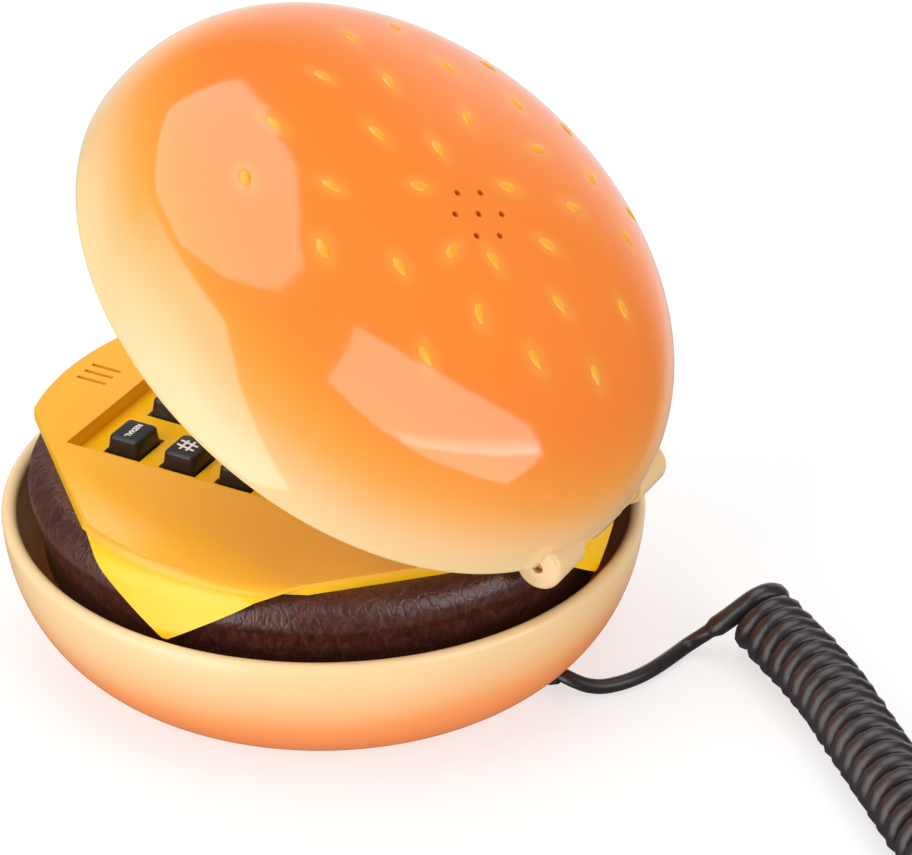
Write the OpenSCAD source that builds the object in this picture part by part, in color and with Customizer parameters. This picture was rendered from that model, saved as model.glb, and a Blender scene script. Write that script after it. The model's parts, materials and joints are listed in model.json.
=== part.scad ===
// Novelty telephone shaped like a hamburger: the top bun is a hinged lid with the earpiece,
// the cheese slice is the keypad deck, and the patty and bottom bun hold the works.
// Frame: +Z up, X along the hinge, +Y towards the hinge, origin on the table under the centre.

/* [Bottom bun] */
// Radius at the rim
bun_r = 59; // [58.5:0.1:60]
// Height of the rim above the table
bun_h = 28.1; // [27.8:0.1:28.4]
// Radius where the side curve meets the underside
bun_foot_r = 37.7; // [37:0.1:39]
// Wall thickness
bun_wall = 2.6; // [2.4:0.1:2.8]

/* [Top bun] */
// Radius of the lid at its rim
lid_r = 58.7; // [58.2:0.1:59]
// Height of the closed lid's rim above the table
lid_rim_z = 38.6; // [38.4:0.1:38.8]
// Height of the dome above its rim
lid_h = 33.7; // [32:0.1:36]
// Squareness of the dome's curve, 2 is an ellipse
lid_power = 2.4; // [2.2:0.1:2.6]
// Wall thickness of the lid
lid_wall = 2.4; // [2.2:0.1:2.6]
// How far the lid stands open
lid_open = 35.6; // [0:0.1:90]

/* [Cheese deck] */
// Height of the deck's top face
deck_z = 40; // [39.9:0.1:40.1]
// Half the side of the cheese slice
slice_half = 48.4; // [47.8:0.1:48.8]
// Thickness of the slice
slice_t = 2.2; // [2:0.1:2.4]
// Height of the drooping corners' tips
tip_z = 27.8; // [27.6:0.1:28.4]

/* [Keypad] */
// Distance between key columns
key_dx = 15.1; // [14.5:0.1:15.2]
// Distance between key rows
key_dy = 11.7; // [11.2:0.1:11.8]
// How far a key goes down
key_travel = 1.2; // [1:0.1:1.2]
// Depth of the keypad well
well_depth = 3.1; // [3:0.1:3.2]

/* [Hinge] */
// Distance of the hinge axis behind the centre
hinge_y = 54.9; // [54.8:0.1:55]
// Height of the hinge axis
hinge_z = 39.6; // [39.5:0.1:39.7]
// Radius of the hinge knuckles
knuckle_r = 4.4; // [4.2:0.1:4.5]
// Radius of the hinge pins
pin_r = 1; // [0.9:0.05:1.1]

/* [Cord] */
// Outer diameter of the curly cord
coil_d = 13.8; // [13.4:0.1:13.8]
// Diameter of the straight ends of the cord
tail_d = 2.8; // [2.6:0.1:2.8]

/* [Hidden] */
$fn = 96;
eps = 0.01;

// Bottom bun
floor_bottom = 0.8;
floor_top = 3;
rim_round = 1.38;
ledge_z = 20;
ledge_r = 49;
screw_x = 26.3;
screw_y = 9.6;
screw_r = 1.45;
screw_clear_r = 1.7;
screw_head_r = 2.8;
post_r = 4.2;
post_top = 12;
foot_r_in = 33.5;
foot_r_out = 37;
foot_h = 1.4;
grommet_r = 2.2;
grommet_z = 3.6;
grommet_y = [38, 47.4, 49.2];
switch_pos = [12, -26];
window = [9, 4];
knob = [4.2, 3.4, 1.8];
knob_z = 0.9;

// Patty
patty_bottom = 20;
patty_flange_r = 46;

// Deck
deck_under = deck_z - slice_t;
mic_end_r = 54.4;
bend_start_r = 50.8;
bend_r = 4.7;
flap_t = 1.3;
flap_tip_half = 0.6;
well_floor = deck_z - well_depth;
well_floor_t = 1.6;
well_under = well_floor - well_floor_t;
well_wall = 1.6;
well_x = 24.3;
well_y = [-39.8, 24.2];
slot_w = 0.9;
slot_pitch = 2.6;
slot_y = [-51.3, -45.1];
lug_x = [7.2, 10.4];
lug_r = 3.6;
trough_r = 4.2;
trough_out_r = 5.6;
knuckle_x = [11, 21.4];
knuckle_gap = 0.3;
knuckle_clear_r = knuckle_r + 0.5;
peg_y = 36;
peg_r = 1.6;
peg_tip_z = 35.2;
peg_slot = [4.4, 6.4];

// Keys
key_base = [8.2, 7.2];
key_top = [7.2, 6.2];
key_round = 1.1;
key_top_z = 40.2;
key_gap = 0.3;
key_flange = 0.8;
key_flange_z = [34.5, 35];
key_row_y = -31.2;

// Board and what it carries
board_z = 30.4;
board_t = 1.6;
board_top = board_z + board_t;
board_x = 22.5;
board_y = [-41.2, 46];
board_screw_x = 20.3;
board_screw_y = [-38.6, 30];
mat_t = 0.8;
mat_dome_r = 3;
mat_dome_h = 0.2;
mic_y = -46.2;
mic_r = 3;
boot_r = 4.2;

// Lid
lip_r = lid_wall / 2;
lid_in_r = lid_r - lid_wall;
lid_in_h = lid_h - lid_wall;
cover_z = [41.2, 43];
cover_r = 55.7;
ear_y = -20;
ear_r = 14;
ringer_pos = [3.4, 5.2];
ringer_ring_r = 5.2;
ringer_hole_r = 0.6;
lid_screw_r = 44;
lid_screw_a = [38, 142, 218, 322];
seed_ball = 3;
seed_proud = 0.45;
// Sesame seeds, placed by eye on the closed lid
SEEDS = [
    [-14, -34], [2, -31], [-8, -23], [-25, -19], [19, -30], [7, -17], [-2, -8], [-16, -9], [-32, -6],
    [-24, 4], [-33, 13], [32, -26], [23, -15], [9, -5], [-8, 5], [-19, 16], [-29, 25], [34, -8],
    [26, 3], [15, 7], [9, 13], [-5, 17], [20, 18], [3, 26], [-12, 34], [33, 17], [16, 30], [5, 39],
    [-28, -31], [-39, -15], [-42, 3], [-40, 22]
];

// Cord routes, x y z of the centre line
tail_r = tail_d / 2;
wire_r = 1.95;
TAIL = [
    [0, 49.2, 3.6], [0, 50.6, 3.3], [-0.4, 52.2, 2.7], [-1.2, 54, 2], [-2.8, 56.2, 1.5],
    [-5.2, 58.3, 1.4], [-8, 60, 1.4], [-11.2, 61.3, 1.4], [-15, 62.3, 1.4], [-19, 63.1, 1.4],
    [-23, 63.9, 1.5], [-26.5, 64.8, 1.7], [-28.8, 66, 2], [-30.2, 67.6, 2.7], [-31.2, 69.6, 4],
    [-31.8, 71.6, 5.8], [-32.3, 73.2, 7.6], [-32.7, 74.6, 9]
];
THICK_FROM = 12;
COIL = [
    [-31, 74], [-25, 82], [-19, 90], [-12, 98], [-4, 106], [4, 114], [12, 122], [20, 130],
    [28, 139], [34, 149], [37, 160], [36, 172], [30, 183], [21, 191], [9, 195], [-4, 194],
    [-15, 188], [-23, 179], [-26, 167], [-24, 155], [-17, 146], [-6, 142], [5, 145], [12, 153], [13, 164]
];
END_TAIL = [
    [13.1, 164.2, 3], [13, 167, 2.3], [12.2, 170, 1.6], [10.4, 173, 1.4], [7.6, 175.6, 1.4],
    [4, 177, 1.4], [0.2, 177, 1.5], [-3, 175.4, 2], [-4.8, 172.8, 2.8], [-5.4, 170, 3.3], [-5.5, 168, 3.4]
];
plug_pos = [-5.5, 168, 3.4];
plug_size = [11.7, 12.3, 6.6];

function arc(c, r, a0, a1, n) = [for (i = [0:n]) c + r * [cos(a0 + (a1 - a0) * i / n), sin(a0 + (a1 - a0) * i / n)]];
function oval(c, rx, rz, a0, a1, n) =
    [for (i = [0:n]) c + [rx * cos(a0 + (a1 - a0) * i / n), rz * sin(a0 + (a1 - a0) * i / n)]];
function dome(r, h, a) = [r * pow(cos(a), 2 / lid_power), lid_rim_z + h * pow(sin(a), 2 / lid_power)];
function dome_height(d) = lid_h * pow(1 - pow(d / lid_r, lid_power), 1 / lid_power);
function unit(v) = v / norm(v);

// Half the width of a slice corner where it crosses a circle of radius r
function slice_half_at(r) = (slice_half - sqrt(r * r - slice_half * slice_half)) / sqrt(2);
function dome_normal(x, y) =
    let (d = norm([x, y]), slope = pow(d / lid_r, lid_power - 1) / lid_r,
         rise = pow(dome_height(d) / lid_h, lid_power - 1) / lid_h)
    unit([slope * x / d, slope * y / d, rise]);

// Side vector and up vector of a route at point i
function heading(p, i) = unit(p[min(i + 1, len(p) - 1)] - p[max(i - 1, 0)]);
function side(t) = unit(cross([0, 0, 1], t));
function tube_ring(p, i, r, n) =
    let (t = heading(p, i), s = side(t), u = cross(t, s))
    [for (k = [0:n - 1]) p[i] + r * (cos(360 * k / n) * s + sin(360 * k / n) * u)];

module tube(p, radii, n) {
    last = len(p) - 1;
    points = [for (i = [0:last]) each tube_ring(p, i, radii[i], n)];
    walls = [for (i = [0:last - 1], k = [0:n - 1])
        [(i + 1) * n + k, (i + 1) * n + (k + 1) % n, i * n + (k + 1) % n, i * n + k]];
    caps = [[for (k = [0:n - 1]) k], [for (k = [n - 1:-1:0]) last * n + k]];
    polyhedron(points, concat(walls, caps));
}

module along_x(x0, x1, r) {
    translate([x0, hinge_y, hinge_z])
        rotate([0, 90, 0])
            cylinder(r = r, h = x1 - x0);
}

module both_x(x, r) {
    for (s = [0, 1])
        mirror([s, 0, 0])
            along_x(x[0], x[1], r);
}

module in_lid() {
    translate([0, hinge_y, hinge_z])
        rotate([-lid_open, 0, 0])
            translate([0, -hinge_y, -hinge_z])
                children();
}

module round_box(size, r, h) {
    linear_extrude(h)
        offset(r, $fn = 24)
            square([size[0] - 2 * r, size[1] - 2 * r], center = true);
}

module at_base_screws() {
    for (x = [-screw_x, screw_x], y = [-screw_y, screw_y])
        translate([x, y, 0])
            children();
}

module at_board_screws() {
    for (x = [-board_screw_x, board_screw_x], y = board_screw_y)
        translate([x, y, 0])
            children();
}

module at_lid_screws() {
    for (a = lid_screw_a)
        rotate(a)
            translate([lid_screw_r, 0, 0])
                children();
}

module at_switches() {
    for (s = [-1, 1])
        translate([s * switch_pos[0], switch_pos[1], 0])
            children();
}

module bottom_bun_shell() {
    c = [bun_foot_r, bun_h];
    rx = bun_r - bun_foot_r;
    rim_c = [bun_r - rim_round, bun_h - rim_round];
    outer = [for (p = oval(c, rx, -bun_h, 6, 78, 18)) if (p[1] > floor_bottom + 0.2) p];
    inner = oval(c, rx - bun_wall, floor_top - bun_h, 90, 8, 12);
    color("#ffd09a")
        difference() {
            union() {
                rotate_extrude()
                    polygon(concat([[0, floor_bottom]], [[42.6, floor_bottom]],
                        [for (i = [len(outer) - 1:-1:0]) outer[i]], arc(rim_c, rim_round, 0, 180, 8),
                        [for (i = [len(inner) - 1:-1:0]) inner[i]], [[0, floor_top]]));
                rotate_extrude()
                    polygon([[ledge_r, ledge_z - 1.4], [ledge_r, ledge_z], [56, ledge_z], [55, ledge_z - 6]]);
                at_base_screws()
                    translate([0, 0, floor_bottom])
                        cylinder(r = post_r, h = post_top - floor_bottom, $fn = 48);
            }
            at_base_screws() {
                translate([0, 0, -1])
                    cylinder(r = screw_clear_r, h = 20, $fn = 48);
                translate([0, 0, -1])
                    cylinder(r = screw_head_r + 0.3, h = 7, $fn = 48);
            }
            difference() {
                cylinder(r = foot_r_out, h = foot_h);
                translate([0, 0, -1])
                    cylinder(r = foot_r_in, h = foot_h + 2);
            }
            translate([0, grommet_y[0] - 3, grommet_z])
                rotate([-90, 0, 0])
                    cylinder(r = grommet_r, h = 16, $fn = 48);
            at_switches()
                translate([-window[0] / 2, -window[1] / 2, 0])
                    cube([window[0], window[1], 4]);
        }
}

module foot_ring() {
    color("#3a3a3c")
        difference() {
            cylinder(r = foot_r_out, h = foot_h);
            translate([0, 0, -1])
                cylinder(r = foot_r_in, h = foot_h + 2);
        }
}

module ballast_plate() {
    color("#8d9196")
        translate([0, 3, floor_top])
            cylinder(r = 19.5, h = 4);
}

module patty_frame() {
    color("#47291f")
        difference() {
            rotate_extrude()
                polygon(concat([[51.4, patty_bottom], [51.6, 24], [52.6, 27]],
                    oval([49, 33], 4.8, 4.8, -40, 78, 9), [[patty_flange_r, deck_under], [patty_flange_r, 36.4]],
                    [[50.6, 36.2], [52, 34], [52, 31], [50.8, 28], [49.8, 25], [49.8, patty_bottom]]));
            translate([-well_x - well_wall - 0.3, well_y[0] - well_wall - 0.3, 30])
                cube([2 * (well_x + well_wall + 0.3), well_y[1] - well_y[0] + 2 * well_wall + 0.6, 9]);
            translate([0, mic_y, 30])
                cylinder(r = boot_r + 0.2, h = 10, $fn = 48);
            along_x(-knuckle_x[1] - 0.6, knuckle_x[1] + 0.6, trough_out_r + 0.2);
        }
}

// The flat top of the slice: a square turned 45 degrees, its corners cut where they start to droop
module slice_outline() {
    intersection() {
        rotate(45)
            square(2 * slice_half, center = true);
        union() {
            circle(r = bend_start_r + 0.1);
            translate([0, -20])
                intersection() {
                    square([80, 90], center = true);
                    translate([0, 20])
                        circle(r = mic_end_r);
                }
        }
    }
}

// A drooping corner, pointing along +X: a skirt that bends round the patty's rim, trimmed to a triangle
module flap() {
    bend_c = [bend_start_r, deck_z - bend_r];
    skirt_r = bend_start_r + bend_r;
    side_z = deck_z - slice_t;
    side_r = bend_start_r + bend_r * sin(acos(1 - slice_t / bend_r));
    edge_half = slice_half_at(side_r);
    intersection() {
        rotate_extrude()
            polygon(concat([[bend_start_r - 6, side_z], [bend_start_r - 6, deck_z]], arc(bend_c, bend_r, 90, 0, 10),
                [[skirt_r + 0.4, tip_z - 1], [skirt_r + 0.4 - flap_t, tip_z - 1]],
                arc(bend_c, bend_r - flap_t, 0, 47, 6), [[bend_start_r, side_z]]));
        rotate(45)
            translate([-slice_half, -slice_half, 0])
                cube([2 * slice_half, 2 * slice_half, 60]);
        translate([40, 0, 0])
            rotate([90, 0, 90])
                linear_extrude(20)
                    polygon([[-24, deck_z], [24, deck_z], [edge_half, side_z], [flap_tip_half, tip_z],
                        [-flap_tip_half, tip_z], [-edge_half, side_z]]);
    }
}

// The part of the deck round the hinge that the lid's rim swings into
module hinge_trough() {
    intersection() {
        along_x(-lug_x[1], lug_x[1], trough_out_r);
        translate([-20, hinge_y - 10, hinge_z - 10])
            cube([40, 10.6, 10.4]);
    }
}

module hinge_lugs() {
    both_x(lug_x, lug_r);
    intersection() {
        both_x(lug_x, trough_out_r);
        translate([-20, hinge_y - 10, hinge_z - 10])
            cube([40, 10, 10]);
    }
}

module cheese_deck() {
    color("#fcb43c")
        difference() {
            union() {
                difference() {
                    union() {
                        translate([0, 0, deck_under])
                            linear_extrude(slice_t)
                                slice_outline();
                        for (a = [0, 90, 180])
                            rotate(a)
                                flap();
                        hinge_trough();
                    }
                    along_x(-lug_x[1] - knuckle_gap, lug_x[1] + knuckle_gap, trough_r);
                    both_x([knuckle_x[0] - knuckle_gap, knuckle_x[1] + 0.4], knuckle_clear_r);
                }
                hinge_lugs();
                translate([-well_x - well_wall, well_y[0] - well_wall, well_under])
                    cube([2 * (well_x + well_wall), well_y[1] - well_y[0] + 2 * well_wall, deck_z - well_under - 1]);
                at_base_screws()
                    translate([0, 0, post_top + 0.1])
                        cylinder(r = 3.2, h = deck_under - post_top, $fn = 48);
                at_board_screws()
                    translate([0, 0, board_top])
                        cylinder(r = 2.4, h = deck_under - board_top + 0.5, $fn = 48);
            }
            translate([-well_x, well_y[0], well_floor])
                cube([2 * well_x, well_y[1] - well_y[0], 10]);
            for (c = [-1:1], r = [0:4])
                translate([c * key_dx, key_row_y + r * key_dy, well_floor - 3])
                    linear_extrude(5)
                        square(key_base + 2 * [key_gap, key_gap], center = true);
            for (i = [-1:1])
                translate([i * slot_pitch - slot_w / 2, slot_y[0], deck_under - 1])
                    cube([slot_w, slot_y[1] - slot_y[0], 4]);
            translate([-peg_slot[0] / 2, peg_y - peg_slot[1] + peg_r + 0.6, deck_under - 1])
                cube([peg_slot[0], peg_slot[1], 4]);
            at_base_screws()
                translate([0, 0, post_top - 1])
                    cylinder(r = screw_r, h = 8, $fn = 48);
            at_board_screws()
                translate([0, 0, board_top - 1])
                    cylinder(r = 1, h = 3.6, $fn = 48);
            both_x([lug_x[0] - 1, lug_x[1] + 1], pin_r);
        }
}

module hinge_pins() {
    color("#b9bdc2")
        both_x([lug_x[0] - 0.6, knuckle_x[1] - 1], pin_r);
}

module key(col, row) {
    color("#201d1f")
        translate([col * key_dx, key_row_y + row * key_dy, 0]) {
            hull() {
                translate([0, 0, well_floor])
                    round_box(key_base, key_round, 0.8);
                translate([0, 0, key_top_z - 0.5])
                    round_box(key_top + [0.6, 0.6], key_round, eps);
                translate([0, 0, key_top_z - eps])
                    round_box(key_top, key_round, eps);
            }
            translate([0, 0, key_flange_z[0] + 0.1])
                round_box(key_base, key_round, well_floor - key_flange_z[0]);
            translate([0, 0, key_flange_z[0]])
                round_box(key_base + 2 * [key_flange, key_flange], key_round, key_flange_z[1] - key_flange_z[0]);
        }
}

module key_mat() {
    color("#6e6b68") {
        translate([-22, -36, board_top])
            cube([44, 58, mat_t]);
        for (c = [-1:1], r = [0:4])
            translate([c * key_dx, key_row_y + r * key_dy, board_top + mat_t - eps])
                cylinder(r = mat_dome_r, h = mat_dome_h + eps, $fn = 32);
    }
}

module main_board() {
    color("#3f7d4a")
        difference() {
            translate([-board_x, board_y[0], board_z])
                cube([2 * board_x, board_y[1] - board_y[0], board_t]);
            at_board_screws()
                translate([0, 0, board_z - 1])
                    cylinder(r = 1.2, h = 4, $fn = 48);
        }
}

module dial_chip() {
    color("#2a2a2c")
        translate([0, -8, 0]) {
            translate([-11.5, -3.2, 26.2])
                cube([23, 6.4, 3.4]);
            for (i = [0:8], s = [-1, 1])
                translate([(i - 4) * 2.54 - 0.25, s * 3.6 - 0.4, 27.6])
                    cube([0.5, 0.8, board_z - 27.6]);
        }
}

module line_capacitors() {
    color("#2f4f8f")
        for (p = [[-14, 8, 4], [-4, 9, 3.2], [14, -24, 3.2]])
            translate([p[0], p[1], board_z - 11])
                cylinder(r = p[2], h = 11, $fn = 48);
}

module line_relay() {
    color("#d8d2c0")
        translate([4, 16, board_z - 10])
            cube([15, 12, 10]);
}

module hook_switch() {
    color("#2a2a2c")
        translate([-4, 32, board_top])
            cube([8, 8.5, 1.8]);
}

module hook_leaf() {
    color("#c9a14a")
        difference() {
            translate([-1.5, 30.5, board_top])
                cube([3, 10, 2.7]);
            translate([-3, 31, board_top - 1])
                cube([6, 20, 3.3]);
        }
}

module microphone() {
    color("#c2c4c6")
        translate([0, mic_y, 34])
            cylinder(r = mic_r, h = 2.8, $fn = 48);
}

module microphone_boot() {
    color("#2b2b2b")
        difference() {
            translate([0, mic_y, 33.2])
                cylinder(r = boot_r, h = deck_under - 33.2, $fn = 48);
            translate([0, mic_y, 34])
                cylinder(r = mic_r, h = 10, $fn = 48);
        }
}

module screw(r, head_r, head_h, length) {
    cylinder(r = head_r, h = head_h, $fn = 48);
    cylinder(r = r, h = length, $fn = 48);
}

module base_screws() {
    color("#9a9da0")
        at_base_screws()
            translate([0, 0, 4.2])
                screw(screw_r, screw_head_r, 1.8, 14);
}

module board_screws() {
    color("#9a9da0")
        at_board_screws()
            translate([0, 0, board_z - 1.2])
                screw(1, 2, 1.2, 5);
}

module slide_switch_bodies() {
    color("#55585c")
        at_switches()
            translate([-5.5, -3, floor_top])
                cube([11, 6, 4.5]);
}

module knob_at(x) {
    color("#1d1d1f")
        translate([x - knob[0] / 2, switch_pos[1] - knob[1] / 2, knob_z])
            cube(knob);
}

module ringer_switch_knob() {
    knob_at(switch_pos[0]);
}

module tone_switch_knob() {
    knob_at(-switch_pos[0] - 2);
}

module dome_solid(r, h) {
    rotate_extrude()
        polygon(concat([[0, lid_rim_z + 1]], [[r, lid_rim_z + 1]], [for (a = [4:2:88]) dome(r, h, a)], [[0, lid_rim_z + h]]));
}

module lid_skin() {
    rotate_extrude()
        polygon(concat(arc([lid_r - lip_r, lid_rim_z + lip_r], lip_r, 180, 360, 8),
            [for (a = [4:4:88]) dome(lid_r, lid_h, a)], [[0, lid_rim_z + lid_h], [0, lid_rim_z + lid_in_h]],
            [for (a = [88:-4:4]) dome(lid_in_r, lid_in_h, a)]));
}

module seeds() {
    difference() {
        for (s = SEEDS)
            translate([s[0], s[1], lid_rim_z + dome_height(norm(s))] + (seed_proud - seed_ball) * dome_normal(s[0], s[1]))
                sphere(r = seed_ball, $fn = 32);
        dome_solid(lid_r - 1, lid_h - 1);
    }
}

module top_bun_shell() {
    color("#ff9640")
        in_lid()
            difference() {
                union() {
                    lid_skin();
                    both_x(knuckle_x, knuckle_r);
                    intersection() {
                        at_lid_screws()
                            translate([0, 0, cover_z[1]])
                                cylinder(r = 3, h = 30, $fn = 48);
                        dome_solid(lid_r - 1, lid_h - 1);
                    }
                    seeds();
                }
                both_x([knuckle_x[0] - 1, knuckle_x[1] + 1], pin_r + 0.05);
                both_x([lug_x[0] - 0.4, lug_x[1] + 0.4], lug_r + 0.4);
                at_lid_screws()
                    translate([0, 0, cover_z[1] - 1])
                        cylinder(r = 1.3, h = 10, $fn = 48);
                translate([ringer_pos[0], ringer_pos[1], 60]) {
                    cylinder(r = ringer_hole_r, h = 20, $fn = 24);
                    for (i = [0:5])
                        rotate(60 * i + 30)
                            translate([ringer_ring_r, 0, 0])
                                cylinder(r = ringer_hole_r, h = 20, $fn = 24);
                }
            }
}

module lid_inner_cover() {
    color("#ffe0ae")
        in_lid() {
            difference() {
                translate([0, 0, cover_z[0]])
                    cylinder(r = cover_r, h = cover_z[1] - cover_z[0]);
                translate([-knuckle_x[1] - 0.6, 49.6, 30])
                    cube([2 * knuckle_x[1] + 1.2, 20, 20]);
                translate([0, ear_y, cover_z[0] - 1]) {
                    cylinder(r = 0.9, h = 5, $fn = 24);
                    for (i = [0:5])
                        rotate(60 * i)
                            translate([4.5, 0, 0])
                                cylinder(r = 0.9, h = 5, $fn = 24);
                }
                at_lid_screws() {
                    translate([0, 0, cover_z[0] - 1])
                        cylinder(r = 1.6, h = 5, $fn = 48);
                    translate([0, 0, cover_z[0] - 1])
                        cylinder(r = 2.7, h = 2.1, $fn = 48);
                }
            }
            translate([0, peg_y, peg_tip_z])
                cylinder(r = peg_r, h = cover_z[0] - peg_tip_z + 0.5, $fn = 48);
        }
}

module earpiece_gasket() {
    color("#4a4a4a")
        in_lid()
            difference() {
                translate([0, ear_y, cover_z[1]])
                    cylinder(r = ear_r, h = 0.8);
                translate([0, ear_y, cover_z[1] - 1])
                    cylinder(r = ear_r - 3, h = 3);
            }
}

module earpiece_speaker() {
    color("#b8bbbe")
        in_lid()
            translate([0, ear_y, cover_z[1] + 0.8]) {
                cylinder(r = ear_r, h = 3);
                cylinder(r = ear_r - 5, h = 6);
            }
}

module ringer_sounder() {
    color("#c9a14a")
        in_lid()
            translate([ringer_pos[0], ringer_pos[1], lid_rim_z + lid_in_h - 3.4])
                cylinder(r = 10, h = 1.2);
}

module ringer_clip() {
    color("#e8e4da")
        in_lid()
            translate([ringer_pos[0], ringer_pos[1], lid_rim_z + lid_in_h - 6])
                difference() {
                    cylinder(r = 11.5, h = 4.6);
                    translate([0, 0, 2.6])
                        cylinder(r = 10, h = 5);
                    translate([0, 0, -1])
                        cylinder(r = 8, h = 5);
                }
}

module lid_lead() {
    color("#b22222")
        in_lid()
            tube([[9, 48, 44.2], [8, 40, 44], [10, 30, 44], [13, 20, 44], [14, 8, 44], [12, -2, 44.4],
                [9, -8.6, 45.8], [5, -13.5, 47.4], [2, -16, 50.6], [2, -8, 53], [3, 0, 58], [3.4, 4, 62.6]],
                [for (i = [0:11]) 0.7], 8);
}

module lid_screws() {
    color("#9a9da0")
        in_lid()
            at_lid_screws()
                translate([0, 0, cover_z[0]])
                    screw(1.3, 2.5, 1.1, 8);
}

module cord_grommet() {
    color("#232021")
        difference() {
            union() {
                translate([0, grommet_y[0], grommet_z])
                    rotate([-90, 0, 0])
                        cylinder(r = grommet_r, h = grommet_y[1] - grommet_y[0], $fn = 48);
                translate([0, grommet_y[1], grommet_z])
                    rotate([-90, 0, 0])
                        cylinder(r1 = 2.6, r2 = 1.9, h = grommet_y[2] - grommet_y[1], $fn = 48);
            }
            translate([0, grommet_y[0] - 1, grommet_z])
                rotate([-90, 0, 0])
                    cylinder(r = tail_r, h = grommet_y[1] - grommet_y[0], $fn = 48);
        }
}

module cord_tail() {
    color("#2e2422")
        tube(TAIL, [for (i = [0:len(TAIL) - 1]) i < THICK_FROM ? tail_r : wire_r], 8);
}

module cord_coil() {
    color("#2e2422")
        tube([for (p = COIL) [p[0], p[1], coil_d / 2]], [for (p = COIL) coil_d / 2], 12);
}

module cord_end_tail() {
    color("#2e2422")
        tube(END_TAIL, [for (p = END_TAIL) tail_r], 8);
}

module line_plug() {
    color("#d9dde0")
        translate(plug_pos)
            rotate(180) {
                translate([-plug_size[0] / 2, 0, -plug_size[2] / 2 + 0.1])
                    cube(plug_size);
                translate([-1.6, 1.2, 3.3])
                    rotate([-10, 0, 0])
                        cube([3.2, 11, 0.9]);
            }
}

bottom_bun_shell();
foot_ring();
ballast_plate();
patty_frame();
cheese_deck();
hinge_pins();
key(-1, 4);  // key_1
key(0, 4);  // key_2
key(1, 4);  // key_3
key(-1, 3);  // key_4
key(0, 3);  // key_5
key(1, 3);  // key_6
key(-1, 2);  // key_7
key(0, 2);  // key_8
key(1, 2);  // key_9
key(-1, 1);  // key_star
key(0, 1);  // key_0
key(1, 1);  // key_hash
key(-1, 0);  // key_mute
key(0, 0);  // key_flash
key(1, 0);  // key_redial
key_mat();
main_board();
dial_chip();
line_capacitors();
line_relay();
hook_switch();
hook_leaf();
microphone();
microphone_boot();
base_screws();
board_screws();
slide_switch_bodies();
ringer_switch_knob();
tone_switch_knob();
top_bun_shell();
lid_inner_cover();
earpiece_gasket();
earpiece_speaker();
ringer_sounder();
ringer_clip();
lid_lead();
lid_screws();
cord_grommet();
cord_tail();
cord_coil();
cord_end_tail();
line_plug();
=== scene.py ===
# %% [markdown]
# # A telephone shaped like a hamburger
# The telephone is a clamshell: the top bun is a lid on two hinge knuckles, the cheese slice is the
# keypad deck, and the patty and the bottom bun hold the works. The engineering model already exists
# and is loaded as a fixed frame. This script gives every part its final surface: it spins the two buns
# and the patty from profiles, softens the moulded edges of the rest, prints the keys and winds the cord.

# %% Load the engineering model
import json
import math

import bmesh
import bpy
from mathutils import Matrix, Quaternion, Vector, noise

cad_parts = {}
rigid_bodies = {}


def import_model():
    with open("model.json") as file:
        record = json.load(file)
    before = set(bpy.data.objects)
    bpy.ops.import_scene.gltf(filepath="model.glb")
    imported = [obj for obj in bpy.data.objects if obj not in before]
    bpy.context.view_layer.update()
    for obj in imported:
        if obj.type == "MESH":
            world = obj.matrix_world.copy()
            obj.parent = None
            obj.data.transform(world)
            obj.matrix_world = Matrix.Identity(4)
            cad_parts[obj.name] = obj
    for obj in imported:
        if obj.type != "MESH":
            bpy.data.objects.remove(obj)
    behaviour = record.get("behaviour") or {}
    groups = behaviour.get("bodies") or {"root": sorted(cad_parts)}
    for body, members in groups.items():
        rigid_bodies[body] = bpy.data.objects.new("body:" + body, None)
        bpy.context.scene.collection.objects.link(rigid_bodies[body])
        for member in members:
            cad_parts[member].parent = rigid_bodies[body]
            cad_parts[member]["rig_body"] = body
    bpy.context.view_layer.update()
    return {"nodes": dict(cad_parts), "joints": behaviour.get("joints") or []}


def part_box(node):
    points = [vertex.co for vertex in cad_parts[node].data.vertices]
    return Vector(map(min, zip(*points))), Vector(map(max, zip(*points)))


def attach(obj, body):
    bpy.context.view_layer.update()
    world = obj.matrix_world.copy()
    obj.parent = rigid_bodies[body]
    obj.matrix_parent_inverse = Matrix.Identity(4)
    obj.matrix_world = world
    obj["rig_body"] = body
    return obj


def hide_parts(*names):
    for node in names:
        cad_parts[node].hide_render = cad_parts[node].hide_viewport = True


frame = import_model()
nodes = frame["nodes"]
MM = 0.001

# %% [markdown]
# ## Camera
# A product picture is taken with a long lens from a little above, so that circles stay round and the
# edges of the object hardly converge. The camera stands three quarters behind the keypad, where the
# lid's dome, the cheese corner and the cord all show.

# %% Place the camera
CAMERA_AZIMUTH, CAMERA_ELEVATION, CAMERA_ROLL = (math.radians(d) for d in (118.09, 29.97, 0.23))
CAMERA_DISTANCE = 761 * MM
CAMERA_TARGET = Vector((0, 27.4, 49.3)) * MM
backward = Vector((math.sin(CAMERA_AZIMUTH) * math.cos(CAMERA_ELEVATION),
                   -math.cos(CAMERA_AZIMUTH) * math.cos(CAMERA_ELEVATION),
                   math.sin(CAMERA_ELEVATION)))
camera_data = bpy.data.cameras.new("camera")
camera_data.sensor_width = 36
camera_data.lens = 168.4
camera_data.clip_start = 0.05
camera = bpy.data.objects.new("camera", camera_data)
bpy.context.scene.collection.objects.link(camera)
camera.rotation_mode = "QUATERNION"
camera.location = CAMERA_TARGET + backward * CAMERA_DISTANCE
camera.rotation_quaternion = (-backward).to_track_quat("-Z", "Y") @ Quaternion((0, 0, 1), CAMERA_ROLL)
bpy.context.scene.camera = camera
bpy.context.scene.view_settings.view_transform = "Standard"
print("camera at", [round(v, 3) for v in camera.location])

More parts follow.
